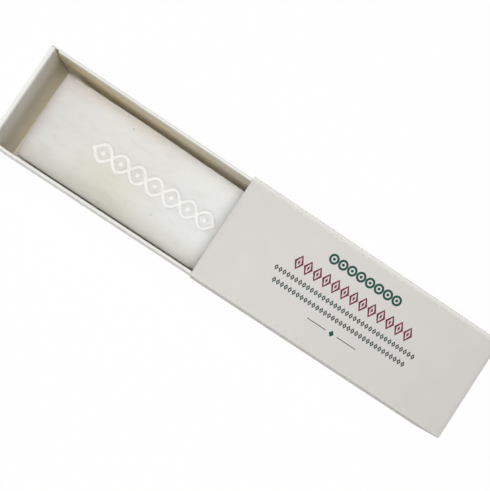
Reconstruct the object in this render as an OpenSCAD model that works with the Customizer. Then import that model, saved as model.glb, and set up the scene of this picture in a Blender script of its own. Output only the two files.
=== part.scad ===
// Paperboard slide box with a bar of stain soap: a folded sleeve, a folded drawer tray and the bar.
// X runs along the box, the tray is drawn out towards -X, and Z is up.
// The origin is the middle of the sleeve's underside.

/* [Soap bar] */
// Length of the bar
bar_length = 104.5; // [80:0.5:140]
// Width of the bar
bar_width = 38; // [30:0.5:60]
// Thickness of the bar
bar_height = 14.8; // [10:0.1:30]
// Radius of the bar's upright corners
bar_corner = 1.3; // [1:0.1:5]
// Radius along the bar's top and bottom edges
bar_edge = 0.7; // [0.4:0.1:1]
// Length of the raised ornament on the bar
relief_length = 55; // [40:1:70]
// Width of the raised ornament over its waves
relief_width = 8.4; // [6:0.2:12]
// Width of the raised ornament's strokes
relief_stroke = 1.3; // [0.8:0.1:2]
// Number of eyes along the raised ornament
relief_eyes = 7; // [3:1:9]
// Height that the ornament stands above the bar
relief_height = 0.5; // [0.2:0.1:1]

/* [Tray] */
// Thickness of the tray's board
tray_board = 0.55; // [0.45:0.05:0.7]
// Inside radius of the tray's folds
tray_fold = 0.25; // [0.15:0.01:0.3]
// Air between the two layers of a rolled side wall
side_layer_gap = 0.2; // [0.1:0.05:0.4]
// Air on each side of the dust flap inside a rolled end wall
end_layer_gap = 0.1; // [0.08:0.01:0.2]
// Air between the tray's floor and the rolled-in layers that stand on it
foot_gap = 0.1; // [0.05:0.05:0.3]
// Slits that keep the cut edges apart where walls meet
corner_slit = 0.2; // [0.1:0.05:0.4]
// Reach of the dust flaps behind the end walls
dust_reach = 15; // [8:0.5:18]
// How far a dust flap's free corners are cut back
dust_mitre = 3; // [1:0.5:5]
// How far the rolled-in side layers are cut back along the floor
roll_mitre_run = 26; // [4:0.5:30]
// How far up from the floor their slanting ends reach
roll_mitre_rise = 15.5; // [4:0.5:18]
// Height of the free wall above the bar
head_room = 10.6; // [3:0.1:20]

/* [Sleeve] */
// Thickness of the sleeve's board
sleeve_board = 0.4; // [0.35:0.05:0.6]
// Inside radius of the sleeve's folds
sleeve_fold = 0.25; // [0.1:0.05:0.4]
// Height of the glue flap up the inside of the far wall
glue_flap = 15; // [8:0.5:18]
// How far the glue flap's free edge is cut back at each end
glue_mitre = 5; // [1:0.5:8]
// Gap between the surface it lies on and the far wall's cut edge
seam_lift = 0.2; // [0.1:0.05:0.4]

/* [Fits] */
// Air between the bar and the tray's near side wall
bar_near_gap = 0.85; // [0.3:0.05:3]
// Air between the bar and the tray's far side wall
bar_far_gap = 2.05; // [0.3:0.05:4]
// Air between the bar and the drawn end wall
bar_front_gap = 5; // [0.5:0.1:8]
// Air between the bar and the end wall inside the sleeve
bar_back_gap = 0.7; // [0.3:0.1:3]
// Air under the bar
bar_seat = 0.05; // [0.02:0.01:0.1]
// Air between the tray and the sleeve at each side
side_play = 0.15; // [0.1:0.05:0.6]
// Air under the tray
floor_play = 0.15; // [0.1:0.05:0.4]
// Air over the tray's rims
roof_play = 0.55; // [0.2:0.05:1]
// How far the closed tray's ends lie inside the sleeve's ends
end_inset = 0.3; // [0:0.1:2]
// Length of the tray that is still held in the sleeve
held_length = 24.1; // [10:0.1:60]

/* [Hidden] */
$fn = 48;

tray_bend = tray_fold + tray_board;
side_wall = 2 * tray_board + side_layer_gap;
end_wall = 3 * tray_board + 2 * end_layer_gap;
rim_radius = side_wall / 2;
tray_length = bar_length + bar_front_gap + bar_back_gap + 2 * end_wall;
tray_width = bar_width + bar_near_gap + bar_far_gap + 2 * side_wall;
tray_height = tray_board + bar_seat + bar_height + head_room;

sleeve_bend = sleeve_fold + sleeve_board;
sleeve_length = tray_length + 2 * end_inset;
sleeve_width = tray_width + 2 * side_play + 3 * sleeve_board;
sleeve_height = tray_height + floor_play + roof_play + 2 * sleeve_board;

tray_x = held_length - tray_length - sleeve_length / 2;
tray_y = sleeve_board + side_play - sleeve_width / 2;
tray_z = sleeve_board + floor_play;

// Where the side walls turn into the dust flaps, measured from the tray's end
flap_root = tray_board + end_layer_gap + tray_bend;
// Where the rolled layers of the side walls begin, measured from the tray's end
roll_start = end_wall + corner_slit;
// Top of the dust flaps, under the end wall's rolled rim
dust_top = tray_height - tray_board - end_layer_gap;

wave_points = 14;
bead_radius = relief_stroke * 0.75;

// A quarter turn of board about the origin, from the +X side round to the +Y side
module fold(bend, board) {
    intersection() {
        difference() {
            circle(bend);
            circle(bend - board);
        }
        square(bend);
    }
}

// Carries a profile drawn in Y and Z along X
module along_x(length) {
    rotate([90, 0, 90]) linear_extrude(length) children();
}

// Carries a profile drawn in X and Z along Y
module along_y(length) {
    translate([0, length, 0]) rotate([90, 0, 0]) linear_extrude(length) children();
}

// Repeats the tray's end or side on the opposite side
module both_ends() {
    children();
    translate([tray_length, 0, 0]) mirror([1, 0, 0]) children();
}

module both_sides() {
    children();
    translate([0, tray_width, 0]) mirror([0, 1, 0]) children();
}

// A rectangle with rounded corners, centred
module rounded(size, radius) {
    square([size.x - 2 * radius, size.y], center = true);
    square([size.x, size.y - 2 * radius], center = true);
    for (sx = [-1, 1], sy = [-1, 1])
        translate([sx * (size.x / 2 - radius), sy * (size.y / 2 - radius)]) circle(radius);
}

// Cross-section of the wrapped board: floor, near wall, roof, far wall and the fold to the glue flap
module sleeve_section() {
    half = sleeve_width / 2;
    inner_corner = half - sleeve_board - sleeve_bend;
    // Floor
    translate([sleeve_bend - half, 0]) square([half - sleeve_bend + inner_corner, sleeve_board]);
    translate([sleeve_bend - half, sleeve_bend]) rotate(180) fold(sleeve_bend, sleeve_board);
    // Near wall
    translate([-half, sleeve_bend]) square([sleeve_board, sleeve_height - 2 * sleeve_bend]);
    translate([sleeve_bend - half, sleeve_height - sleeve_bend]) rotate(90) fold(sleeve_bend, sleeve_board);
    // Roof
    translate([sleeve_bend - half, sleeve_height - sleeve_board])
        square([2 * (half - sleeve_bend), sleeve_board]);
    translate([half - sleeve_bend, sleeve_height - sleeve_bend]) fold(sleeve_bend, sleeve_board);
    // Far wall, which hangs from the roof and ends in a cut edge
    translate([half - sleeve_board, seam_lift])
        square([sleeve_board, sleeve_height - sleeve_bend - seam_lift]);
    // Fold from the floor up to the glue flap
    translate([inner_corner, sleeve_bend]) rotate(-90) fold(sleeve_bend, sleeve_board);
}

module sleeve() color("whitesmoke") {
    translate([-sleeve_length / 2, 0, 0]) {
        along_x(sleeve_length) sleeve_section();
        // Glue flap, stuck flat to the inside of the far wall
        translate([0, sleeve_width / 2 - 2 * sleeve_board, 0])
            along_y(sleeve_board) polygon([
                [0, sleeve_bend],
                [sleeve_length, sleeve_bend],
                [sleeve_length - glue_mitre, glue_flap],
                [glue_mitre, glue_flap]
            ]);
    }
}

// One side wall: fold from the floor, outer layer, rolled rim, and the inner layer turned down inside
module tray_side() {
    inner_y = tray_board + side_layer_gap;
    roll_length = tray_length - 2 * roll_start;
    foot = tray_board + foot_gap;
    translate([flap_root, 0, 0]) along_x(tray_length - 2 * flap_root) {
        translate([tray_bend, tray_bend]) rotate(180) fold(tray_bend, tray_board);
        translate([0, tray_bend]) square([tray_board, tray_height - rim_radius - tray_bend]);
    }
    translate([roll_start, rim_radius, tray_height - rim_radius]) along_x(roll_length) {
        fold(rim_radius, tray_board);
        rotate(90) fold(rim_radius, tray_board);
    }
    translate([roll_start, inner_y, 0]) along_y(tray_board) polygon([
        [roll_mitre_run, foot],
        [roll_length - roll_mitre_run, foot],
        [roll_length, foot + roll_mitre_rise],
        [roll_length, tray_height - rim_radius],
        [0, tray_height - rim_radius],
        [0, foot + roll_mitre_rise]
    ]);
}

// Dust flap at one corner: the side wall's end turned in behind the end wall
module dust_flap() {
    flap_x = tray_board + end_layer_gap;
    flap_bottom = tray_bend + foot_gap;
    translate([flap_root, tray_bend, flap_bottom]) linear_extrude(dust_top - flap_bottom)
        rotate(180) fold(tray_bend, tray_board);
    translate([flap_x, 0, 0]) rotate([90, 0, 90]) linear_extrude(tray_board) polygon([
        [tray_bend, flap_bottom],
        [dust_reach - dust_mitre, flap_bottom],
        [dust_reach, flap_bottom + dust_mitre],
        [dust_reach, dust_top - dust_mitre],
        [dust_reach - dust_mitre, dust_top],
        [tray_bend, dust_top]
    ]);
}

// One end wall: outer layer, square rolled rim, and the inner layer turned down over the dust flaps
module tray_end() {
    rim_side = tray_board + corner_slit;
    translate([0, tray_bend, 0]) along_y(tray_width - 2 * tray_bend)
        translate([tray_bend, tray_bend]) rotate(180) fold(tray_bend, tray_board);
    translate([0, 0, tray_bend]) cube([tray_board, tray_width, tray_height - 2 * tray_bend]);
    translate([0, rim_side, 0]) along_y(tray_width - 2 * rim_side) {
        translate([tray_bend, tray_height - tray_bend]) rotate(90) fold(tray_bend, tray_board);
        translate([tray_bend, tray_height - tray_board]) square([end_wall - 2 * tray_bend, tray_board]);
        translate([end_wall - tray_bend, tray_height - tray_bend]) fold(tray_bend, tray_board);
    }
    translate([end_wall - tray_board, rim_side, tray_board + foot_gap])
        cube([tray_board, tray_width - 2 * rim_side, tray_height - tray_bend - tray_board - foot_gap]);
}

module tray() color("white") {
    translate([tray_x, tray_y, tray_z]) {
        // Floor panel, which stops at the folds
        translate([tray_bend, tray_bend, 0])
            cube([tray_length - 2 * tray_bend, tray_width - 2 * tray_bend, tray_board]);
        both_sides() tray_side();
        both_ends() {
            tray_end();
            both_sides() dust_flap();
        }
    }
}

// Centre line of one wavy strand of the ornament: place and slope at a share of its length
function wave_y(share, side) = side * (relief_width - relief_stroke) / 2 * sin(180 * relief_eyes * share);
function wave_slope(share, side) =
    side * (relief_width - relief_stroke) / 2 * cos(180 * relief_eyes * share) * PI * relief_eyes / relief_length;
// A point beside the centre line, at the given distance across it
function beside(share, side, across) =
    let (slope = wave_slope(share, side), run = sqrt(1 + slope * slope))
    [relief_length * (share - 0.5) - across * slope / run, wave_y(share, side) + across / run];

module strand(side) {
    steps = relief_eyes * wave_points;
    there = [for (i = [0 : steps]) beside(i / steps, side, relief_stroke / 2)];
    back = [for (i = [steps : -1 : 0]) beside(i / steps, side, -relief_stroke / 2)];
    polygon(concat(there, back));
}

// Two strands that cross in a chain of eyes, with a bead in each eye and at both ends
module ornament() {
    eye = relief_length / relief_eyes;
    for (side = [-1, 1]) strand(side);
    for (i = [0 : relief_eyes - 1]) translate([(i + 0.5) * eye - relief_length / 2, 0]) circle(bead_radius);
    for (end = [-1, 1]) translate([end * relief_length / 2, 0]) circle(bead_radius);
}

module soap_bar() color("ivory") {
    size = [bar_length, bar_width, bar_height];
    floor_z = tray_z + tray_board + bar_seat;
    translate([
        tray_x + end_wall + bar_front_gap + bar_length / 2,
        tray_y + side_wall + bar_near_gap + bar_width / 2,
        floor_z + bar_height / 2
    ]) {
        intersection() {
            linear_extrude(size.z, center = true) rounded([size.x, size.y], bar_corner);
            rotate([90, 0, 0]) linear_extrude(size.y, center = true) rounded([size.x, size.z], bar_edge);
            rotate([90, 0, 90]) linear_extrude(size.x, center = true) rounded([size.y, size.z], bar_edge);
        }
        translate([0, 0, bar_height / 2 - relief_height])
            linear_extrude(2 * relief_height) ornament();
    }
}

sleeve();
tray();
soap_bar();
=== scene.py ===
import math
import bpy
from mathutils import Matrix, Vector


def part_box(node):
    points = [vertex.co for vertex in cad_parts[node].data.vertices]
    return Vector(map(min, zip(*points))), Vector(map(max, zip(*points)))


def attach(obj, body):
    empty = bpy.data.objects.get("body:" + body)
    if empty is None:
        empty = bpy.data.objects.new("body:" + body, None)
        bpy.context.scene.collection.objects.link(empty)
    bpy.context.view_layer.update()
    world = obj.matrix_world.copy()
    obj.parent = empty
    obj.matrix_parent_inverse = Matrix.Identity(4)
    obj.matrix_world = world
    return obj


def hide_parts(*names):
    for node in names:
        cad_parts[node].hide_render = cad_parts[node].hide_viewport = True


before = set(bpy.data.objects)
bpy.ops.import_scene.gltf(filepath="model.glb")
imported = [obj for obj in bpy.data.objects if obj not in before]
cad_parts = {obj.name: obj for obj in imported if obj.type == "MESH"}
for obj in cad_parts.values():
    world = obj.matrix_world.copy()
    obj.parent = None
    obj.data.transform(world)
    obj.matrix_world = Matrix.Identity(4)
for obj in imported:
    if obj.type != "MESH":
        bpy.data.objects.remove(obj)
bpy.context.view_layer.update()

from types import SimpleNamespace

import bmesh
import bpy
import numpy as np
from mathutils import Matrix, Vector, noise

mm = 0.001
print("frame loaded:", ", ".join(sorted(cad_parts)))


def hexColour(text):
    # sRGB hex to the linear values that shaders take
    parts = [int(text[i:i + 2], 16) / 255 for i in (1, 3, 5)]
    return [c / 12.92 if c <= 0.04045 else ((c + 0.055) / 1.055) ** 2.4 for c in parts] + [1.0]


def addNode(tree, kind, settings=None, values=None, links=None):
    node = tree.nodes.new(kind)
    for name, value in (settings or {}).items():
        setattr(node, name, value)
    for name, value in (values or {}).items():
        node.inputs[name].default_value = value
    for name, source in (links or {}).items():
        tree.links.new(source, node.inputs[name])
    return node


def startMaterial(name, shaderValues):
    # an empty node material with its Principled shader wired to the output
    material = bpy.data.materials.new(name)
    material.use_nodes = True
    tree = material.node_tree
    tree.nodes.clear()
    shader = addNode(tree, "ShaderNodeBsdfPrincipled", None, shaderValues)
    addNode(tree, "ShaderNodeOutputMaterial", None, None, {"Surface": shader.outputs[0]})
    return material, tree, shader


# Board

inFold, besideFold = 1.0, 0.6  # how far a fold is lightened, in it and right beside it: cracked coat, partly painted highlight
cutSoftness = 0.16             # bevel of a cut edge, as a share of the board's thickness
cutAngle = 55                  # edges sharper than this, in degrees, are cut edges
weldDistance = 0.01 * mm       # points of a blank nearer than this are one point


def coatedBoard(name, look):
    # Matt coated folding boxboard, calendered: even and pale, a faint cloudiness under the coat,
    # lighter where the coat is cracked along a fold or bruised along a cut edge, and along folds and rims
    # partly a painted highlight
    material, tree, shader = startMaterial(name, {"Roughness": look["roughness"], "IOR": 1.5})
    place = addNode(tree, "ShaderNodeTexCoord").outputs["Object"]
    cloud = addNode(tree, "ShaderNodeTexNoise", None,
                    {"Scale": 1 / look["cloudSize"], "Detail": 3.0}, {"Vector": place})
    tint = addNode(tree, "ShaderNodeMix", {"data_type": "RGBA"},
                   {"A": hexColour(look["shade"]), "B": hexColour(look["colour"])},
                   {"Factor": cloud.outputs["Fac"]})
    fibre = addNode(tree, "ShaderNodeTexNoise", None,
                    {"Scale": 1 / look["fibreSize"], "Detail": 2.0}, {"Vector": place})
    crease = addNode(tree, "ShaderNodeAttribute", {"attribute_name": "crease"})
    crackAndGlintShare = addNode(tree, "ShaderNodeMath", {"operation": "MULTIPLY", "use_clamp": True},
                      {1: look["crackAndGlint"]}, {0: crease.outputs["Fac"]})
    # lighter along folds, rims and cut edges: cracked coat, partly a painted highlight on the bends
    worn = addNode(tree, "ShaderNodeMix", {"data_type": "RGBA"}, {"B": hexColour(look["fibre"])},
                   {"Factor": crackAndGlintShare.outputs[0], "A": tint.outputs["Result"]})
    bump = addNode(tree, "ShaderNodeBump", None, {"Strength": 0.25, "Distance": look["relief"]},
                   {"Height": fibre.outputs["Fac"]})
    tree.links.new(worn.outputs["Result"], shader.inputs["Base Color"])
    tree.links.new(bump.outputs["Normal"], shader.inputs["Normal"])
    return material


def bareBoard(name, look):
    # The uncoated side and the cut edges of the same board: duller, with visible fibres
    material, tree, shader = startMaterial(name, {"Roughness": look["roughness"], "IOR": 1.45})
    place = addNode(tree, "ShaderNodeTexCoord").outputs["Object"]
    fibre = addNode(tree, "ShaderNodeTexNoise", None,
                    {"Scale": 1 / look["fibreSize"], "Detail": 5.0, "Roughness": 0.7},
                    {"Vector": place})
    tint = addNode(tree, "ShaderNodeMix", {"data_type": "RGBA"},
                   {"A": hexColour(look["shade"]), "B": hexColour(look["colour"])},
                   {"Factor": fibre.outputs["Fac"]})
    bump = addNode(tree, "ShaderNodeBump", None, {"Strength": 0.5, "Distance": look["relief"]},
                   {"Height": fibre.outputs["Fac"]})
    tree.links.new(tint.outputs["Result"], shader.inputs["Base Color"])
    tree.links.new(bump.outputs["Normal"], shader.inputs["Normal"])
    return material


def paintLightByHeight(material, look):
    # Where the coated side turns in and lines the tray it carries painted shade and light by height:
    # painted shade greying it at the rim, and painted light making it lighter and warm further down beside
    # the soap, up to an uneven limit
    tree = material.node_tree
    shader = tree.nodes["Principled BSDF"]
    # clean: the board's own colour, before the painted light and shade are laid over it
    clean = shader.inputs["Base Color"].links[0].from_socket
    place = addNode(tree, "ShaderNodeTexCoord").outputs["Object"]
    limitStray = addNode(tree, "ShaderNodeTexNoise", None, {"Scale": 1 / look["limitStraySize"], "Detail": 3.0},
                    {"Vector": place})
    lifted = addNode(tree, "ShaderNodeMapRange", None,
                     {"To Min": -look["limitStray"], "To Max": look["limitStray"]}, {"Value": limitStray.outputs["Fac"]})
    height = addNode(tree, "ShaderNodeSeparateXYZ", None, None, {"Vector": place})
    level = addNode(tree, "ShaderNodeMath", {"operation": "ADD"}, None,
                    {0: height.outputs["Z"], 1: lifted.outputs["Result"]})
    share = addNode(tree, "ShaderNodeMath", {"operation": "DIVIDE"}, {1: look["top"]},
                    {0: level.outputs[0]})
    ramp = addNode(tree, "ShaderNodeValToRGB", None, None, {"Fac": share.outputs[0]})
    stops = ramp.color_ramp.elements
    for number, (z, colour) in enumerate(look["paintedBands"]):
        stop = stops[number] if number < 2 else stops.new(1.0)
        stop.position, stop.color = z / look["top"], hexColour(colour)
    lining = addNode(tree, "ShaderNodeAttribute", {"attribute_name": "lining"})
    liningShaded = addNode(tree, "ShaderNodeMix", {"data_type": "RGBA"}, None,
                     {"Factor": lining.outputs["Fac"], "A": clean, "B": ramp.outputs["Color"]})
    tree.links.new(liningShaded.outputs["Result"], shader.inputs["Base Color"])
    return material


def arcPoints(centre, radius, fromAngle, toAngle, steps):
    # a fold seen end on: points from one angle to the other, in degrees, without the first
    turns = [math.radians(fromAngle + (toAngle - fromAngle) * i / steps) for i in range(1, steps + 1)]
    return [(centre[0] + radius * math.cos(a), centre[1] + radius * math.sin(a)) for a in turns]


def linePoints(start, end, spacing):
    # points along a flat panel seen end on, without the first
    steps = max(1, round(math.dist(start, end) / spacing))
    return [(start[0] + (end[0] - start[0]) * i / steps, start[1] + (end[1] - start[1]) * i / steps)
            for i in range(1, steps + 1)]


def emptySheet():
    # a blank's middle surface before any patch is added
    return {"points": [], "faces": [], "crease": [], "lining": []}


def addGrid(sheet, rows, creases, linings=None):
    # a patch of the blank's middle surface, row by row, with a crease and a lining value for each row
    first = len(sheet["points"])
    width = len(rows[0])
    for row, crease, lining in zip(rows, creases, linings or [0.0] * len(rows)):
        sheet["points"] += row
        sheet["crease"] += [crease] * width
        sheet["lining"] += [lining] * width
    for i in range(len(rows) - 1):
        for j in range(width - 1):
            a = first + i * width + j
            sheet["faces"].append((a, a + 1, a + width + 1, a + width))


def foldedBoard(name, sheet, board, materials):
    # joins the patches of a blank, gives them the board's thickness and softens the cut edges
    mesh = bpy.data.meshes.new(name)
    mesh.from_pydata(sheet["points"], [], sheet["faces"])
    for layer in ("crease", "lining"):
        mesh.attributes.new(layer, "FLOAT", "POINT").data.foreach_set("value", sheet[layer])
    work = bmesh.new()
    work.from_mesh(mesh)
    bmesh.ops.remove_doubles(work, verts=work.verts, dist=weldDistance)
    bmesh.ops.recalc_face_normals(work, faces=work.faces)
    lowest = min(work.faces, key=lambda face: face.calc_center_median().z)
    if lowest.normal.z > 0:  # the coated side of the floor panel faces down
        bmesh.ops.reverse_faces(work, faces=work.faces)
    work.to_mesh(mesh)
    work.free()
    for material in materials:
        mesh.materials.append(material)
    piece = bpy.data.objects.new(name, mesh)
    bpy.context.scene.collection.objects.link(piece)
    wall = piece.modifiers.new("board", "SOLIDIFY")
    wall.thickness = board
    wall.offset = 0.0
    wall.use_even_offset = True
    wall.use_quality_normals = True
    wall.material_offset = 1
    wall.material_offset_rim = 2
    edge = piece.modifiers.new("cutEdge", "BEVEL")
    edge.width = board * cutSoftness
    edge.segments = 2
    edge.limit_method = "ANGLE"
    edge.angle_limit = math.radians(cutAngle)
    return plainPiece(piece)


def plainPiece(piece, sharpAngle=40):
    # turns the evaluated piece into a plain mesh, with its modifiers gone
    bpy.context.view_layer.update()
    evaluated = piece.evaluated_get(bpy.context.evaluated_depsgraph_get())
    mesh = bpy.data.meshes.new_from_object(evaluated, preserve_all_data_layers=True,
                                           depsgraph=bpy.context.evaluated_depsgraph_get())
    piece.modifiers.clear()
    piece.data = mesh
    mesh.name = piece.name
    mesh.shade_smooth()
    mesh.set_sharp_from_angle(angle=math.radians(sharpAngle))
    return piece


# Sleeve

sleeveCut = {
    "board": 0.4 * mm,        # thickness
    "insideFold": 0.25 * mm,  # inside radius of the folds
    "flapHeight": 15 * mm,    # glue flap up the inside of the far wall
    "flapMitre": 5 * mm,      # cut back of its free edge at each end
    "seamLift": 0.2 * mm,     # far wall's cut edge above the floor
    "endSkew": 0.45 * mm,     # the far end is cut this much out of square
    "nearCrackAndGlint": 0.15,        # the near fold of the roof is lightened less: less cracked coat and painted highlight
    "spacing": 1.6 * mm,
    "outside": {"colour": "#D3D0CB", "shade": "#CCC9C4", "fibre": "#F3F1EC", "crackAndGlint": 0.9,
                "cloudSize": 9 * mm, "fibreSize": 0.35 * mm, "relief": 0.02 * mm, "roughness": 0.48},
    "inside": {"colour": "#D3CCBD", "shade": "#C2BAA8", "fibreSize": 0.5 * mm, "relief": 0.04 * mm,
               "roughness": 0.85},
    "cut": {"colour": "#F0EDE6", "shade": "#DDD8CC", "fibreSize": 0.12 * mm, "relief": 0.03 * mm,
            "roughness": 0.9},
}


def makeSleeve(cut):
    low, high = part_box("sleeve")
    t = cut["board"]
    bend = cut["insideFold"] + t          # outer radius of a fold
    middle = cut["insideFold"] + t / 2    # radius of the board's middle surface in a fold
    nearY, farY = low.y, high.y
    flapY = farY - 1.5 * t
    path = [(flapY, low.z + cut["flapHeight"])]
    creases = [0.0]

    def panel(end, crackAndGlint=besideFold):
        points = linePoints(path[-1], end, cut["spacing"])
        path.extend(points)
        creases.extend([0.0] * (len(points) - 1) + [crackAndGlint])

    def fold(centre, fromAngle, crackAndGlint=inFold):
        points = arcPoints(centre, middle, fromAngle, fromAngle - 90, 6)
        path.extend(points)
        creases.extend([crackAndGlint] * (len(points) - 1) + [crackAndGlint * besideFold])

    panel((flapY, low.z + bend))
    fold((flapY - middle, low.z + bend), 0)
    panel((nearY + bend, low.z + t / 2))
    fold((nearY + bend, low.z + bend), -90)
    panel((nearY + t / 2, high.z - bend), 0.0)
    fold((nearY + bend, high.z - bend), 180, cut["nearCrackAndGlint"])
    panel((farY - bend, high.z - t / 2))
    fold((farY - bend, high.z - bend), 90)
    panel((farY - t / 2, low.z + cut["seamLift"]))
    columns = round((high.x - low.x) / cut["spacing"])
    rows = []
    for y, z in path:
        onFlap = abs(y - flapY) < weldDistance
        upFlap = (z - low.z - bend) / (cut["flapHeight"] - bend) if onFlap else 0.0
        mitre = cut["flapMitre"] * max(0.0, upFlap)
        start, end = low.x + mitre, high.x - mitre + cut["endSkew"] * (y - nearY) / (farY - nearY)
        rows.append([(start + (end - start) * i / columns, y, z) for i in range(columns + 1)])
    sheet = emptySheet()
    addGrid(sheet, rows, creases)
    materials = [coatedBoard("coatedSleeveBoard", cut["outside"]),
                 bareBoard("bareSleeveBoard", cut["inside"]), bareBoard("cutSleeveEdge", cut["cut"])]
    piece = foldedBoard("folded_sleeve", sheet, t, materials)
    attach(piece, "sleeve")
    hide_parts("sleeve")


makeSleeve(sleeveCut)
print("sleeve folded")


# Tray

trayCut = {
    "board": 0.55 * mm,
    "insideFold": 0.25 * mm,
    "sideGap": 0.2 * mm,      # air between the two layers of a side wall
    "endGap": 0.1 * mm,       # air on each side of the dust flap in an end wall
    "footGap": 0.1 * mm,      # air under the rolled-in layers
    "slit": 0.2 * mm,         # keeps cut edges apart at the corners
    "dustReach": 15 * mm,     # dust flaps tucked inside the end walls
    "dustMitre": 3 * mm,
    "rollRun": 26 * mm,       # the rolled-in side layers are cut back this far along the floor
    "rollRise": 15.5 * mm,    # and their slanting ends reach this high
    "sideRimCrackAndGlint": 0.35,     # how far the side walls' rolled rims are lightened: cracked coat and painted highlight
    "endRimCrackAndGlint": 0.5,       # in the two rim folds of an end wall
    "endTopCrackAndGlint": 0.4,       # and between them
    "endLining": 0.4,         # the end walls stand clear of the bar and get less painted light and shade than the sides, ever more from the rim down to this depth
    "endShadeDepth": 12 * mm,       # ever more from the rim down to this depth
    "mouthFade": 0.5,         # the side walls get this much less painted light and shade at the sleeve's mouth
    "nearLining": 0.15,       # the near wall takes only this share of the painted light and shade under its rim
    "cornerGape": 1.5 * mm,   # the far side's rolled layer stands off the drawn end's corner at the rim
    "gapeDepth": 6 * mm,
    "spacing": 1.6 * mm,
    "outside": {"colour": "#F4F2EE", "shade": "#EFEDE7", "fibre": "#FBFAF6", "crackAndGlint": 0.8,
                "cloudSize": 7 * mm, "fibreSize": 0.35 * mm, "relief": 0.02 * mm, "roughness": 0.5},
    # the lining's painted light and shade by height above the floor, and how far its upper limit strays and
    # how widely
    "liningLight": {"paintedBands": [(8 * mm, "#FAE6C2"), (11 * mm, "#F9E6BF"), (14 * mm, "#F0DFBB"),
                       (17 * mm, "#E2D6B9"), (20 * mm, "#E8D4A2"), (23 * mm, "#E4D3A8"),
                       (25.5 * mm, "#E6E4DE")],
             "top": 27 * mm, "limitStray": 2 * mm, "limitStraySize": 16 * mm},
    "inside": {"colour": "#E9E2D2", "shade": "#DAD2C0", "fibreSize": 0.5 * mm, "relief": 0.04 * mm,
               "roughness": 0.85},
    "cut": {"colour": "#F3F0E8", "shade": "#E0DBCF", "fibreSize": 0.12 * mm, "relief": 0.03 * mm,
            "roughness": 0.9},
}


def spread(start, end, spacing):
    # evenly spaced values from start to end, about this far apart
    steps = max(1, round((end - start) / spacing))
    return [start + (end - start) * i / steps for i in range(steps + 1)]


def traySizes(cut):
    # lines and levels of the folded tray, measured from its drawn end, its near side and its underside
    low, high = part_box("tray")
    length, width, height = high - low
    t, step = cut["board"], cut["spacing"]
    bend = cut["insideFold"] + t         # outer radius of a fold
    sideWall = 2 * t + cut["sideGap"]
    endWall = 3 * t + 2 * cut["endGap"]
    wallTop = height - sideWall / 2      # where a side wall's rim begins to roll over
    flapRoot = t + cut["endGap"] + bend  # inset of the side walls' ends, where the dust flaps are folded
    return SimpleNamespace(
        low=low, length=length, width=width, height=height, half=t / 2, bend=bend,
        middle=cut["insideFold"] + t / 2, sideWall=sideWall, endWall=endWall, wallTop=wallTop,
        flapRoot=flapRoot, rollStart=endWall + cut["slit"], rimSide=t + cut["slit"],
        foot=t + cut["footGap"], alongX=spread(flapRoot, length - flapRoot, step),
        alongY=spread(bend, width - bend, step),
        wallHeights=[bend] + spread(bend + cut["footGap"], wallTop, step))


def placed(size, x, y, z, farEnd=False, farSide=False):
    # a point of the tray in the frame, mirrored to its far end or far side
    return (size.low.x + (size.length - x if farEnd else x),
            size.low.y + (size.width - y if farSide else y), size.low.z + z)


def addSideWalls(sheet, cut, size):
    half, bend, wallTop, rimRadius = size.half, size.bend, size.wallTop, size.sideWall / 2
    foldLine = arcPoints((bend, bend), size.middle, -90, -180, 6)
    rim = arcPoints((rimRadius, wallTop), rimRadius - half, 180, 0, 10)
    # (inset of the row's ends, y, z, crease, lining) from the floor up, over the rim and down inside
    profile = [(size.flapRoot, bend, half, besideFold, 0.0)]
    profile += [(size.flapRoot, y, z, inFold, 0.0) for y, z in foldLine]
    profile += [(size.flapRoot, half, z, 0.0, 0.0) for z in size.wallHeights[1:]]
    # the inner half of each rolled rim takes the lining's grey at the top, a painted shade
    profile += [(size.rollStart, y, z, cut["sideRimCrackAndGlint"], min(1.0, max(0.0, (i - 3) / 4)))
                for i, (y, z) in enumerate(rim)]
    for z in spread(size.foot, wallTop, cut["spacing"])[-2::-1]:
        lowShare = max(0.0, (size.foot + cut["rollRise"] - z) / cut["rollRise"])
        inset = size.rollStart + cut["rollRun"] * lowShare
        profile.append((inset, size.sideWall - half, z, 0.0, 1.0))
    shares = [(x - size.flapRoot) / (size.length - 2 * size.flapRoot) for x in size.alongX]
    for farSide in (False, True):
        rows = []
        for inset, y, z, crease, lining in profile:
            rolled = farSide and inset >= size.rollStart
            gape = cut["cornerGape"] * max(0.0, 1 - (size.height - z) / cut["gapeDepth"]) if rolled else 0.0
            start, end = inset + gape, size.length - inset
            rows.append([placed(size, start + (end - start) * share, y, z, False, farSide)
                         for share in shares])
        # below the rim the near wall takes only a share of the painted light and shade
        clean = 1.0 if farSide else cut["nearLining"]
        addGrid(sheet, rows, [row[3] for row in profile],
                [row[4] * (clean if row[2] < wallTop - bend else 1.0) for row in profile])


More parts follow.
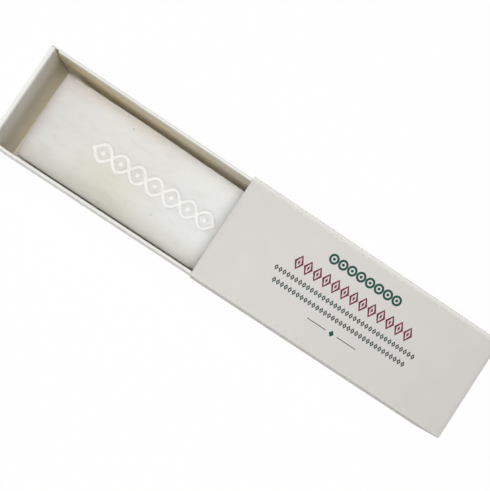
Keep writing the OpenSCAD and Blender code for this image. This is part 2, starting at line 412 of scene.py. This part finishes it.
def addEndWalls(sheet, cut, size):
    half, bend, middle, height, rimSide = size.half, size.bend, size.middle, size.height, size.rimSide
    foldLine = arcPoints((bend, bend), middle, -90, -180, 6)
    outerRim = arcPoints((bend, height - bend), middle, 180, 90, 5)
    innerRim = arcPoints((size.endWall - bend, height - bend), middle, 90, 0, 5)
    # (inset of the row's ends, x, z, crease, lining) from the floor up, over the rim and down inside
    profile = [(bend, bend, half, besideFold, 0.0)]
    profile += [(bend, x, z, inFold, 0.0) for x, z in foldLine]
    profile += [(0.0, half, z, 0.0, 0.0) for z in spread(bend, height - bend, cut["spacing"])[1:]]
    profile += [(rimSide, x, z, cut["endRimCrackAndGlint"], 0.0) for x, z in outerRim]
    profile += [(rimSide, size.endWall - bend, height - half, cut["endTopCrackAndGlint"], 0.0)]
    profile += [(rimSide, x, z, cut["endRimCrackAndGlint"], 0.0) for x, z in innerRim]
    for z in spread(size.foot, height - bend, cut["spacing"])[-2::-1]:
        # painted shade on the end walls, growing from the rim downwards
        liningShaded = cut["endLining"] * min(1.0, (height - z) / cut["endShadeDepth"])
        profile.append((rimSide, size.endWall - half, z, 0.0, liningShaded))
    shares = [(y - bend) / (size.width - 2 * bend) for y in size.alongY]
    for farEnd in (False, True):
        rows = [[placed(size, x, inset + (size.width - 2 * inset) * share, z, farEnd) for share in shares]
                for inset, x, z, crease, lining in profile]
        addGrid(sheet, rows, [row[3] for row in profile], [row[4] for row in profile])


def addDustFlaps(sheet, cut, size):
    flapX = cut["board"] + cut["endGap"] + size.half
    heights = size.wallHeights[1:]
    foldLine = [(size.flapRoot, size.half)]
    foldLine += arcPoints((size.flapRoot, size.bend), size.middle, -90, -180, 5)
    reach = spread(size.bend, cut["dustReach"], cut["spacing"])[1:]
    for farEnd in (False, True):
        for farSide in (False, True):
            rows = [[placed(size, x, y, z, farEnd, farSide) for z in heights] for x, y in foldLine]
            for y in reach:
                cutBack = max(0.0, y - cut["dustReach"] + cut["dustMitre"])
                bottom, top = heights[0] + cutBack, heights[-1] - cutBack
                rows.append([placed(size, flapX, y, min(max(z, bottom), top), farEnd, farSide)
                             for z in heights])
            addGrid(sheet, rows, [besideFold] * len(foldLine) + [0.0] * len(reach))


def makeTray(cut):
    size = traySizes(cut)
    sheet = emptySheet()
    floorX = [size.bend] + size.alongX + [size.length - size.bend]
    addGrid(sheet, [[placed(size, x, y, size.half) for y in size.alongY] for x in floorX],
            [0.0] * len(floorX))
    addSideWalls(sheet, cut, size)
    addEndWalls(sheet, cut, size)
    addDustFlaps(sheet, cut, size)
    # the painted light and shade on the walls is weaker towards the sleeve's mouth
    start, mouth = size.low.x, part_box("sleeve")[0].x
    sheet["lining"] = [lining * (1 - cut["mouthFade"] * min(1.0, (point[0] - start) / (mouth - start)))
                       for lining, point in zip(sheet["lining"], sheet["points"])]
    coated = paintLightByHeight(coatedBoard("coatedTrayBoard", cut["outside"]), cut["liningLight"])
    materials = [coated, bareBoard("bareTrayBoard", cut["inside"]), bareBoard("cutTrayEdge", cut["cut"])]
    piece = foldedBoard("folded_tray", sheet, cut["board"], materials)
    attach(piece, "tray")
    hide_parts("tray")


makeTray(trayCut)
print("tray folded")


# Soap bar

soapBar = {
    "corner": 0.9 * mm,       # radius of the upright corners
    "edge": 0.45 * mm,        # radius along the top and bottom edges
    "wornEdge": 1.0 * mm,     # radius along the top of the near side, rubbed by the tray's wall
    "reliefLength": 55 * mm,
    "reliefWidth": 8.4 * mm,
    "reliefStroke": 1.3 * mm,
    "reliefEyes": 7,
    "reliefHeight": 0.5 * mm,
    "reliefSlope": 0.5 * mm,  # how far a stroke's flank runs out
    "reliefMargin": (1.5 * mm, 0.5 * mm),  # the fine grid goes on past the ornament's ends and sides
    "pillowReach": 4.5 * mm,  # the faces fall away towards their edges over this width
    "pillowDrop": 0.4 * mm,
    "endSkew": 0.75 * mm,     # the drawn end is cut this much out of square
    "bow": 0.4 * mm,          # the bar has dried a little curved, bulging towards the far side
    "bowMiddle": -14 * mm,
    "bowWave": 96 * mm,
    "farBow": (0.6, 0.4),     # share of the bow in the middle, and how much more of it at the far side
    "wander": 0.12 * mm,      # how far the outline strays from straight
    "wanderSizes": (9 * mm, 11 * mm),  # at the ends and along the sides
    "wanderSeeds": (3.1, 7.7),
    "crumble": 0.07 * mm,     # roughness of the edges
    "crumbleSize": 0.9 * mm,
    "crumbleReach": 2 * mm,
    "crumbleSeed": 1.7,
    "brim": 3 * mm,           # width of the fine grid along the edges
    "coarse": 1.2 * mm,       # spacing of the grid lines
    "fine": 0.27 * mm,
    "wallSteps": 10,          # rings of faces down the sides
    "fringe": 1.3 * mm,       # the painted shade fades out at the very edge, which stays light as a painted highlight
    # painted shade along each side, where the tray's walls and the sleeve shade the bar: how far in it
    # reaches, how dark it is there and how pinkish
    "paintedBands": {"near": (9 * mm, 0.85, 0.12), "far": (6.5 * mm, 0.6, 0.4),
              "drawn": (4.5 * mm, 0.3, 0.7), "held": (2 * mm, 0.3, 0.0)},
    "bandEdge": 1.15,         # a band fades from 0.15 of its reach on and is gone at 1.15 of it
    "farFade": (0.75, 1.4),   # the far band's share in the middle, and in how many half lengths it is lost
    "mouthTintAndLightFrom": -4 * mm,     # from here on towards the sleeve the soap is cooler in colour, and lighter as painted light
    "mouthTintAndLightReach": 24 * mm,
    "agedPlace": (-17 * mm, -9 * mm),  # middle of a yellowed patch, from the bar's middle
    "agedSize": (15 * mm, 9 * mm),
    "roughness": 0.42,
    "scatter": 8 * mm,        # how far light wanders inside the soap
    "streakSize": 7 * mm,
    "streakStretch": 2.2,
    "streakTurn": 0.5,
    "streakRange": (0.5, 0.75),  # noise from none to the most of a streak
    "streakMost": 0.3,
    "speckCell": 31 * mm,     # one speck to each cell of about this size
    "speckRange": (0.018, 0.008),  # distance in cells from none to the most of a speck
    "speckMost": 0.5,
    "grainSize": 1.8 * mm,
    "grainDepth": 0.05 * mm,
    # the raised ornament's colour is a painted highlight; the darker, pinkish colours of the sides are
    # painted shade; the colour towards the sleeve is partly painted light
    "colour": "#E2E1DE", "mouthTintAndLight": "#E3E4E1", "aged": "#DCDCCE", "shadeBlush": "#E7DDDC", "paintedShade": "#E7E5DF",
    "streak": "#E7E5DF", "raised": "#F0F0EC", "speck": "#A09B90",
}


def hardSoap(name, look):
    # Hard pressed soap: white and a little translucent, so its edges glow and its shadows are soft, satin
    # from the press, with painted shade along its sides, lighter and cooler towards the sleeve partly as
    # painted light, a yellowed patch, dark specks and an ornament painted paler as a painted highlight
    material, tree, shader = startMaterial(name, {
        "Roughness": look["roughness"], "IOR": 1.45, "Subsurface Weight": 1.0,
        "Subsurface Scale": look["scatter"], "Subsurface Radius": (1.0, 0.95, 0.85)})
    place = addNode(tree, "ShaderNodeTexCoord").outputs["Object"]
    slanted = addNode(tree, "ShaderNodeMapping", None,
                      {"Scale": (1.0, look["streakStretch"], 1.0), "Rotation": (0, 0, look["streakTurn"])},
                      {"Vector": place})
    streaks = addNode(tree, "ShaderNodeTexNoise", None,
                      {"Scale": 1 / look["streakSize"], "Detail": 4.0, "Distortion": 0.6},
                      {"Vector": slanted.outputs[0]})
    specks = addNode(tree, "ShaderNodeTexVoronoi", {"voronoi_dimensions": "2D"},
                     {"Scale": 1 / look["speckCell"]}, {"Vector": place})
    factors = {}
    for layer, amount in [("streak", streaks.outputs["Fac"]), ("speck", specks.outputs["Distance"])]:
        none, full = look[layer + "Range"]
        limited = addNode(tree, "ShaderNodeMapRange", None,
                          {"From Min": none, "From Max": full, "To Max": look[layer + "Most"]},
                          {"Value": amount})
        factors[layer] = limited.outputs["Result"]
    for layer in ("mouthTintAndLight", "aged", "shadeBlush", "paintedShade", "raised"):
        factors[layer] = addNode(tree, "ShaderNodeAttribute", {"attribute_name": layer}).outputs["Fac"]
    plain = addNode(tree, "ShaderNodeRGB")
    plain.outputs[0].default_value = hexColour(look["colour"])
    skin = plain.outputs[0]
    # the sides are darkened and tinted pink as painted shade, and the ornament lightened as a painted
    # highlight
    for layer, blend in [("mouthTintAndLight", "MIX"), ("aged", "MIX"), ("shadeBlush", "MIX"), ("paintedShade", "MULTIPLY"),
                         ("streak", "MULTIPLY"), ("raised", "MIX"), ("speck", "MIX")]:
        mixed = addNode(tree, "ShaderNodeMix", {"data_type": "RGBA", "blend_type": blend},
                        {"B": hexColour(look[layer])}, {"Factor": factors[layer], "A": skin})
        skin = mixed.outputs["Result"]
    grain = addNode(tree, "ShaderNodeTexNoise", None, {"Scale": 1 / look["grainSize"], "Detail": 3.0},
                    {"Vector": place})
    bump = addNode(tree, "ShaderNodeBump", None, {"Strength": 0.3, "Distance": look["grainDepth"]},
                   {"Height": grain.outputs["Fac"]})
    tree.links.new(skin, shader.inputs["Base Color"])
    tree.links.new(bump.outputs["Normal"], shader.inputs["Normal"])
    return material


def barLines(halfSize, bar, bandHalf):
    # grid lines across the bar: fine over the ornament and the brim, and set along the edges' curve
    corner, edge, fine = bar["corner"], bar["edge"], bar["fine"]
    flat = halfSize - corner
    stops = [(bandHalf, fine), (flat - bar["brim"], bar["coarse"]), (flat, fine),
             (flat + corner - edge, fine)]
    lines = [0.0]
    for stop, spacing in stops:
        steps = max(1, math.ceil((stop - lines[-1]) / spacing))
        lines += [lines[-1] + (stop - lines[-1]) * i / steps for i in range(1, steps + 1)]
    lines += [flat + corner - edge + edge * math.sin(math.radians(90 * i / 6)) for i in range(1, 7)]
    return [-x for x in lines[:0:-1]] + lines


def ornamentShare(x, y, bar):
    # 1 on two crossing strands that make a chain of eyes and on a bead in each eye and at both ends
    across = (bar["reliefWidth"] - bar["reliefStroke"]) / 2
    length, eyes, stroke = bar["reliefLength"], bar["reliefEyes"], bar["reliefStroke"]
    share = x / length + 0.5
    phase = math.pi * eyes * share
    slope = across * np.cos(phase) * math.pi * eyes / length
    strand = np.minimum(np.abs(y - across * np.sin(phase)), np.abs(y + across * np.sin(phase)))
    strand = np.where((share < 0) | (share > 1), 1.0, strand / np.sqrt(1 + slope * slope)) - stroke / 2
    eye = length / eyes
    beadX = (np.clip(np.floor(share * eyes), 0, eyes - 1) + 0.5) * eye - length / 2
    beadRadius = stroke * 0.75
    bead = np.hypot(x - beadX, y) - beadRadius
    ends = np.hypot(np.abs(x) - length / 2, y) - beadRadius
    outside = np.minimum(strand, np.minimum(bead, ends))
    lift = np.clip(0.5 - outside / bar["reliefSlope"], 0, 1)
    return lift * lift * (3 - 2 * lift)


def wander(values, size, seed):
    # smooth seeded noise along a line, from -1 to 1
    return np.array([noise.noise(Vector((v / size, seed, 0.5))) for v in values])


def skinShares(x, y, halfX, halfY, bar):
    # how much painted shade, darker and pinkish, the soap has at each point, how yellowed it is, and how
    # much cooler and lighter towards the sleeve, partly painted light, from 0 to 1
    depths = {"near": halfY + y, "far": halfY - y, "drawn": halfX + x, "held": halfX - x}
    bright, plain = np.ones(x.shape), np.ones(x.shape)
    # each side's band of painted shade, darker and pinkish
    for side, (reach, paintedShade, shadeBlush) in bar["paintedBands"].items():
        share = np.clip(bar["bandEdge"] - depths[side] / reach, 0, 1)
        share = share * share * (3 - 2 * share) * np.clip(depths[side] / bar["fringe"], 0, 1)
        if side == "far":  # this band is narrower and paler towards the sleeve
            share = share * np.clip(bar["farFade"][0] - x / (bar["farFade"][1] * halfX), 0, 1)
        bright *= 1 - paintedShade * share
        plain *= 1 - shadeBlush * share
    aged = np.exp(-((x - bar["agedPlace"][0]) / bar["agedSize"][0]) ** 2
                  - ((y - bar["agedPlace"][1]) / bar["agedSize"][1]) ** 2)
    # lighter and cooler towards the sleeve, partly painted light
    mouthTintAndLight = np.clip((x - bar["mouthTintAndLightFrom"]) / bar["mouthTintAndLightReach"], 0, 1)
    return {"paintedShade": 1 - bright, "shadeBlush": 1 - plain, "aged": aged, "mouthTintAndLight": mouthTintAndLight}


def roundedPlan(xs, ys, halfX, halfY, bar):
    # the bar's grid with its corners drawn round, and how far each point drops in the rounded edges
    corner, edge, worn = bar["corner"], bar["edge"], bar["wornEdge"]
    gx, gy = np.meshgrid(xs, ys, indexing="ij")
    coreX = np.clip(gx, corner - halfX, halfX - corner)
    coreY = np.clip(gy, corner - halfY, halfY - corner)
    outX, outY = gx - coreX, gy - coreY
    square = np.maximum(np.abs(outX), np.abs(outY))
    reach = np.maximum(np.hypot(outX, outY), 1e-12)
    planX = coreX + outX / reach * square
    planY = coreY + outY / reach * square
    intoEdge = np.clip(square - (corner - edge), 0, edge)
    drop = edge - np.sqrt(np.maximum(edge * edge - intoEdge * intoEdge, 0))
    intoWorn = np.clip(worn - halfY - planY, 0, worn)
    drop = np.maximum(drop, worn - np.sqrt(worn ** 2 - intoWorn ** 2))
    return planX, planY, drop


def driedPlan(planX, planY, xs, ys, halfX, halfY, bar):
    # the outline after cutting and drying: strayed inwards a little, an end out of square, and bowed
    endSize, sideSize = bar["wanderSizes"]
    endSeed, sideSeed = bar["wanderSeeds"]
    inX = np.outer(np.ones(len(xs)), 0.5 + 0.5 * wander(ys, endSize, endSeed))
    inY = np.outer(0.5 + 0.5 * wander(xs, sideSize, sideSeed), np.ones(len(ys)))
    skew = np.where(planX < 0, bar["endSkew"] * (halfY - planY) / (2 * halfY), 0)
    planX = planX + (skew - bar["wander"] * inX * np.sign(planX)) * np.abs(planX / halfX) ** 3
    bow = bar["bow"] / 2 * (bar["farBow"][0] + bar["farBow"][1] * planY / halfY)
    planY = planY * (halfY - bow) / halfY - bar["wander"] * inY * (planY / halfY) ** 3
    planY = planY + bow * np.cos(2 * math.pi * (planX - bar["bowMiddle"]) / bar["bowWave"])
    return planX, planY


def joinSheets(topSheet, bottomSheet, upperZ, lowerZ, wallSteps):
    # one closed skin from a top and a bottom grid of the same size, with rings of points between them
    nx, ny = topSheet.shape[:2]
    points = np.concatenate([topSheet.reshape(-1, 3), bottomSheet.reshape(-1, 3)])
    faces = []
    for i in range(nx - 1):
        for j in range(ny - 1):
            a = i * ny + j
            faces.append((a, a + ny, a + ny + 1, a + 1))
            b = a + nx * ny
            faces.append((b, b + 1, b + ny + 1, b + ny))
    ring = [i * ny for i in range(nx)] + [(nx - 1) * ny + j for j in range(1, ny)]
    ring += [i * ny + ny - 1 for i in range(nx - 2, -1, -1)] + list(range(ny - 2, 0, -1))
    layers = [ring]
    sides = []
    for k in range(1, wallSteps):
        z = upperZ + (lowerZ - upperZ) * k / wallSteps
        layers.append([len(points) + len(sides) + n for n in range(len(ring))])
        sides += [(points[n][0], points[n][1], z) for n in ring]
    layers.append([n + nx * ny for n in ring])
    for upper, lower in zip(layers, layers[1:]):
        for n in range(len(ring)):
            m = (n + 1) % len(ring)
            faces.append((upper[n], lower[n], lower[m], upper[m]))
    return np.concatenate([points, np.array(sides)]), faces


def makeSoapBar(bar):
    low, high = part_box("soap_bar")
    top = high.z - bar["reliefHeight"]
    centre = Vector(((low.x + high.x) / 2, (low.y + high.y) / 2, (low.z + top) / 2))
    halfX, halfY, halfZ = (high.x - low.x) / 2, (high.y - low.y) / 2, (top - low.z) / 2
    xs = np.array(barLines(halfX, bar, bar["reliefLength"] / 2 + bar["reliefMargin"][0]))
    ys = np.array(barLines(halfY, bar, bar["reliefWidth"] / 2 + bar["reliefMargin"][1]))
    planX, planY, drop = roundedPlan(xs, ys, halfX, halfY, bar)
    inward = np.minimum(halfX - np.abs(planX), halfY - np.abs(planY))
    pillow = bar["pillowDrop"] * np.clip(1 - inward / bar["pillowReach"], 0, 1) ** 2
    raised = ornamentShare(planX, planY, bar)
    shares = {"raised": raised, **skinShares(planX, planY, halfX, halfY, bar)}
    planX, planY = driedPlan(planX, planY, xs, ys, halfX, halfY, bar)
    size = bar["crumbleSize"]
    crumbs = np.array([noise.noise(Vector((x / size, y / size, bar["crumbleSeed"])))
                       for x, y in zip(planX.ravel(), planY.ravel())]).reshape(drop.shape)
    drop = drop + bar["crumble"] * (1 + crumbs) * np.clip(1 - inward / bar["crumbleReach"], 0, 1)
    topSheet = np.stack([planX, planY, halfZ - drop - pillow + bar["reliefHeight"] * raised], -1)
    bottomSheet = np.stack([planX, planY, drop - halfZ], -1)
    upperZ = halfZ - bar["wornEdge"] - bar["pillowDrop"] - 2 * bar["crumble"]
    points, faces = joinSheets(topSheet, bottomSheet, upperZ, bar["edge"] - halfZ, bar["wallSteps"])
    mesh = bpy.data.meshes.new("pressed_bar")
    mesh.from_pydata((points + np.array(centre)).tolist(), [], faces)
    mesh.shade_smooth()
    for layer, share in shares.items():
        values = np.zeros(len(points), np.float32)
        values[:share.size] = share.ravel()
        mesh.attributes.new(layer, "FLOAT", "POINT").data.foreach_set("value", values)
    mesh.materials.append(hardSoap("hardWhiteSoap", bar))
    piece = bpy.data.objects.new("pressed_bar", mesh)
    bpy.context.scene.collection.objects.link(piece)
    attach(piece, "soap_bar")
    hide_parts("soap_bar")


makeSoapBar(soapBar)
print("soap bar pressed")


# Print on the sleeve

printedPanel = {
    "inkDepth": 0.03 * mm,    # thickness of an ink mark, most of it sunk in the board
    "sunk": 0.02 * mm,
    "inks": {"green": "#06443A", "crimson": "#6E1635", "slate": "#2B3C38"},
    # each row, in millimetres: ink, distance from the roof's middle line, number of marks, pitch,
    # width and height of a mark, its corners, and the stroke of an open mark, or 0 for a solid one
    "rows": {
        "ringRow": ("green", 13.0, 8, 4.15, 4.1, 4.3, 24, 0.9),
        "ringHearts": ("green", 13.0, 8, 4.15, 1.2, 1.2, 12, 0.0),
        "lozengeRow": ("crimson", 4.5, 13, 4.2, 3.9, 6.3, 4, 0.92),
        "lozengeHearts": ("crimson", 4.5, 13, 4.2, 0.9, 2.2, 4, 0.0),
        "upperTrim": ("slate", -1.7, 36, 1.8, 1.6, 2.5, 4, 0.6),
        "lowerTrim": ("slate", -6.2, 34, 1.8, 1.6, 2.5, 4, 0.6),
        "middleMark": ("green", -11.5, 1, 1.0, 2.2, 2.6, 4, 0.0),
    },
    "rule": {"ink": "slate", "y": -11.5, "from": 2.5, "to": 11.1, "width": 0.3},
}


def printingInk(name, colour):
    # Offset ink on matt coating: deep and flat, a little uneven where the board takes it up
    material, tree, shader = startMaterial(name, {"Roughness": 0.55, "IOR": 1.5,
                                                  "Specular IOR Level": 0.15})
    place = addNode(tree, "ShaderNodeTexCoord").outputs["Object"]
    patchSize, thinnest = 0.6 * mm, 0.985  # thinnest: the ink's depth where it has taken least
    patchy = addNode(tree, "ShaderNodeTexNoise", None, {"Scale": 1 / patchSize, "Detail": 2.0},
                     {"Vector": place})
    lighter = [1 - (1 - c) * thinnest for c in hexColour(colour)]
    shade = addNode(tree, "ShaderNodeMix", {"data_type": "RGBA"},
                    {"A": hexColour(colour), "B": lighter}, {"Factor": patchy.outputs["Fac"]})
    tree.links.new(shade.outputs["Result"], shader.inputs["Base Color"])
    return material


def markNodes(tree, given):
    # one mark about the origin: a solid of the row's corners, or a loop of the stroke's width
    solid = addNode(tree, "GeometryNodeMeshCylinder", {"fill_type": "NGON"}, {"Radius": 0.5},
                    {"Vertices": given["Corners"], "Depth": given["Depth"]})
    scale = addNode(tree, "ShaderNodeCombineXYZ", None, {"Z": 1.0},
                    {"X": given["Width"], "Y": given["Height"]})
    solidMark = addNode(tree, "GeometryNodeTransform", None, None,
                        {"Geometry": solid.outputs["Mesh"], "Scale": scale.outputs[0]})
    innerWidth = addNode(tree, "ShaderNodeMath", {"operation": "SUBTRACT"}, None,
                         {0: given["Width"], 1: given["Stroke"]})
    innerHeight = addNode(tree, "ShaderNodeMath", {"operation": "SUBTRACT"}, None,
                          {0: given["Height"], 1: given["Stroke"]})
    inner = addNode(tree, "ShaderNodeCombineXYZ", None, {"Z": 1.0},
                    {"X": innerWidth.outputs[0], "Y": innerHeight.outputs[0]})
    circle = addNode(tree, "GeometryNodeCurvePrimitiveCircle", None, {"Radius": 0.5},
                     {"Resolution": given["Corners"]})
    loop = addNode(tree, "GeometryNodeTransform", None, None,
                   {"Geometry": circle.outputs["Curve"], "Scale": inner.outputs[0]})
    section = addNode(tree, "GeometryNodeCurvePrimitiveQuadrilateral", None, None,
                      {"Width": given["Stroke"], "Height": given["Depth"]})
    openMark = addNode(tree, "GeometryNodeCurveToMesh", None, None,
                       {"Curve": loop.outputs[0], "Profile Curve": section.outputs["Curve"]})
    isOpen = addNode(tree, "ShaderNodeMath", {"operation": "GREATER_THAN"}, {1: 0.0}, {0: given["Stroke"]})
    mark = addNode(tree, "GeometryNodeSwitch", {"input_type": "GEOMETRY"}, None,
                   {"Switch": isOpen.outputs[0], "False": solidMark.outputs[0],
                    "True": openMark.outputs[0]})
    return mark.outputs[0]


def rowTree():
    # a row of equal marks, open or solid, centred on the origin
    tree = bpy.data.node_groups.new("printedRow", "GeometryNodeTree")
    tree.interface.new_socket("Geometry", in_out="OUTPUT", socket_type="NodeSocketGeometry")
    sockets = {}
    for name, kind in [("Count", "Int"), ("Pitch", "Float"), ("Corners", "Int"), ("Width", "Float"),
                       ("Height", "Float"), ("Stroke", "Float"), ("Depth", "Float"), ("Ink", "Material")]:
        socket = tree.interface.new_socket(name, in_out="INPUT", socket_type="NodeSocket" + kind)
        sockets[name] = socket.identifier
    given = addNode(tree, "NodeGroupInput").outputs
    gaps = addNode(tree, "ShaderNodeMath", {"operation": "SUBTRACT"}, {1: 1.0}, {0: given["Count"]})
    length = addNode(tree, "ShaderNodeMath", {"operation": "MULTIPLY"}, None,
                     {0: gaps.outputs[0], 1: given["Pitch"]})
    start = addNode(tree, "ShaderNodeMath", {"operation": "MULTIPLY"}, {1: -0.5}, {0: length.outputs[0]})
    startPoint = addNode(tree, "ShaderNodeCombineXYZ", None, None, {"X": start.outputs[0]})
    step = addNode(tree, "ShaderNodeCombineXYZ", None, None, {"X": given["Pitch"]})
    points = addNode(tree, "GeometryNodeMeshLine", {"mode": "OFFSET"}, None,
                     {"Count": given["Count"], "Start Location": startPoint.outputs[0],
                      "Offset": step.outputs[0]})
    marks = addNode(tree, "GeometryNodeInstanceOnPoints", None, None,
                    {"Points": points.outputs[0], "Instance": markNodes(tree, given)})
    real = addNode(tree, "GeometryNodeRealizeInstances", None, None, {"Geometry": marks.outputs[0]})
    inked = addNode(tree, "GeometryNodeSetMaterial", None, None,
                    {"Geometry": real.outputs[0], "Material": given["Ink"]})
    addNode(tree, "NodeGroupOutput", None, None, {"Geometry": inked.outputs[0]})
    return tree, sockets


def layOnRoof(piece, y, panel):
    # moves flat marks from the origin onto the sleeve's roof and makes them part of the sleeve
    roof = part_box("sleeve")[1].z
    count = len(piece.data.vertices)
    points = np.zeros(count * 3)
    piece.data.vertices.foreach_get("co", points)
    points = points.reshape(-1, 3)
    points[:, 1] += y
    points[:, 2] += roof + panel["inkDepth"] / 2 - panel["sunk"]
    piece.data.vertices.foreach_set("co", points.ravel())
    piece.data.update()
    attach(piece, "sleeve")


def printRule(name, side, ink, panel):
    # a thin line beside the middle mark, to its left or right
    rule = panel["rule"]
    length = (rule["to"] - rule["from"]) * mm
    middle = (rule["to"] + rule["from"]) / 2 * mm
    work = bmesh.new()
    bmesh.ops.create_cube(work, size=1.0)
    bmesh.ops.scale(work, vec=(length, rule["width"] * mm, panel["inkDepth"]), verts=work.verts)
    bmesh.ops.translate(work, vec=(side * middle, 0, 0), verts=work.verts)
    mesh = bpy.data.meshes.new(name)
    work.to_mesh(mesh)
    work.free()
    mesh.materials.append(ink)
    piece = bpy.data.objects.new(name, mesh)
    bpy.context.scene.collection.objects.link(piece)
    layOnRoof(piece, rule["y"] * mm, panel)


def printPanel(panel):
    inks = {name: printingInk(name + "Ink", colour) for name, colour in panel["inks"].items()}
    tree, sockets = rowTree()
    for name, (ink, y, count, pitch, width, height, corners, stroke) in panel["rows"].items():
        mesh = bpy.data.meshes.new("print_" + name)
        piece = bpy.data.objects.new("print_" + name, mesh)
        bpy.context.scene.collection.objects.link(piece)
        rows = piece.modifiers.new("row", "NODES")
        rows.node_group = tree
        for socket, value in [("Count", count), ("Pitch", pitch * mm), ("Corners", corners),
                              ("Width", width * mm), ("Height", height * mm), ("Stroke", stroke * mm),
                              ("Depth", panel["inkDepth"]), ("Ink", inks[ink])]:
            rows[sockets[socket]] = value
        plainPiece(piece)
        layOnRoof(piece, y * mm, panel)
    for name, side in [("print_leftRule", -1), ("print_rightRule", 1)]:
        printRule(name, side, inks[panel["rule"]["ink"]], panel)


printPanel(printedPanel)
print("sleeve printed")


# Camera

viewpoint = {
    "place": (-50.09 * mm, -29.89 * mm, 272.46 * mm),
    "aim": (-33.95 * mm, -16.0 * mm, 0.0),
    "turn": 33.24,            # degrees that the picture's up direction is turned from +Y
    "lens": 47.66,
    "shiftUp": 0.1018,
}


def makeCamera(view):
    data = bpy.data.cameras.new("viewCamera")
    data.sensor_width = 36
    data.lens = view["lens"]
    data.shift_y = view["shiftUp"]
    data.clip_start, data.clip_end = 0.01, 20
    camera = bpy.data.objects.new("viewCamera", data)
    bpy.context.scene.collection.objects.link(camera)
    back = (Vector(view["place"]) - Vector(view["aim"])).normalized()
    turn = math.radians(view["turn"])
    right = Vector((-math.sin(turn), math.cos(turn), 0)).cross(back).normalized()
    up = back.cross(right)
    facing = Matrix((right, up, back)).transposed().to_4x4()
    camera.matrix_world = Matrix.Translation(view["place"]) @ facing
    bpy.context.scene.camera = camera


makeCamera(viewpoint)


# Light and floor

studio = {
    "worldColour": "#FFFFFF", "worldStrength": 0.03,
    "aim": (-0.045, 0.0, 0.02),
    # each lamp: place, width and depth of the panel, power
    "lamps": {
        "overheadPanel": ((-0.02, 0.03, 0.85), (0.25, 0.9), 6.3),
        "windowPanel": ((-0.8, -0.38, 0.52), (0.5, 0.5), 2.4),
    },
    "lampColour": "#FFFFFF",
    "floorSize": 4.0, "floorColour": "#E4E4E2",
    "whiteShare": 0.98,       # how much of the floor that the camera sees is plain white
}


def seenDirectly(tree):
    # 1 for rays that show the background itself: camera, glossy and transmission rays
    path = addNode(tree, "ShaderNodeLightPath")
    some = addNode(tree, "ShaderNodeMath", {"operation": "MAXIMUM"}, None,
                   {0: path.outputs["Is Camera Ray"], 1: path.outputs["Is Glossy Ray"]})
    return addNode(tree, "ShaderNodeMath", {"operation": "MAXIMUM"}, None,
                   {0: some.outputs[0], 1: path.outputs["Is Transmission Ray"]}).outputs[0]


def makeWorld(setup):
    # a faint even fill, and plain white where the background itself is seen
    world = bpy.data.worlds.new("softRoom")
    bpy.context.scene.world = world
    world.use_nodes = True
    tree = world.node_tree
    tree.nodes.clear()
    fill = addNode(tree, "ShaderNodeBackground", None,
                   {"Color": hexColour(setup["worldColour"]), "Strength": setup["worldStrength"]})
    white = addNode(tree, "ShaderNodeBackground", None, {"Color": (1, 1, 1, 1), "Strength": 1.0})
    both = addNode(tree, "ShaderNodeMixShader", None, None,
                   {0: seenDirectly(tree), 1: fill.outputs[0], 2: white.outputs[0]})
    addNode(tree, "ShaderNodeOutputWorld", None, None, {"Surface": both.outputs[0]})


def hangLamps(setup):
    for name, (place, size, power) in setup["lamps"].items():
        lamp = bpy.data.lights.new(name, "AREA")
        lamp.shape = "RECTANGLE"
        lamp.size, lamp.size_y = size
        lamp.energy = power
        lamp.color = hexColour(setup["lampColour"])[:3]
        panel = bpy.data.objects.new(name, lamp)
        panel.location = place
        panel.rotation_euler = (Vector(setup["aim"]) - Vector(place)).to_track_quat("-Z", "Y").to_euler()
        bpy.context.scene.collection.objects.link(panel)


def layFloor(setup):
    # a white sweep that takes soft shadows and is almost plain white to the camera
    half = setup["floorSize"] / 2
    mesh = bpy.data.meshes.new("studio_floor")
    corners = [(-half, -half, 0), (half, -half, 0), (half, half, 0), (-half, half, 0)]
    mesh.from_pydata(corners, [], [(0, 1, 2, 3)])
    floor = bpy.data.objects.new("studio_floor", mesh)
    bpy.context.scene.collection.objects.link(floor)
    material = bpy.data.materials.new("whiteSweep")
    material.use_nodes = True
    tree = material.node_tree
    tree.nodes.clear()
    paper = addNode(tree, "ShaderNodeBsdfDiffuse", None, {"Color": hexColour(setup["floorColour"])})
    glow = addNode(tree, "ShaderNodeEmission", None, {"Color": (1, 1, 1, 1), "Strength": 1.0})
    share = addNode(tree, "ShaderNodeMath", {"operation": "MULTIPLY"}, {1: setup["whiteShare"]},
                    {0: seenDirectly(tree)})
    both = addNode(tree, "ShaderNodeMixShader", None, None,
                   {0: share.outputs[0], 1: paper.outputs[0], 2: glow.outputs[0]})
    addNode(tree, "ShaderNodeOutputMaterial", None, None, {"Surface": both.outputs[0]})
    mesh.materials.append(material)


makeWorld(studio)
hangLamps(studio)
layFloor(studio)
bpy.context.scene.view_settings.view_transform = "Standard"
print("camera, light and floor set")
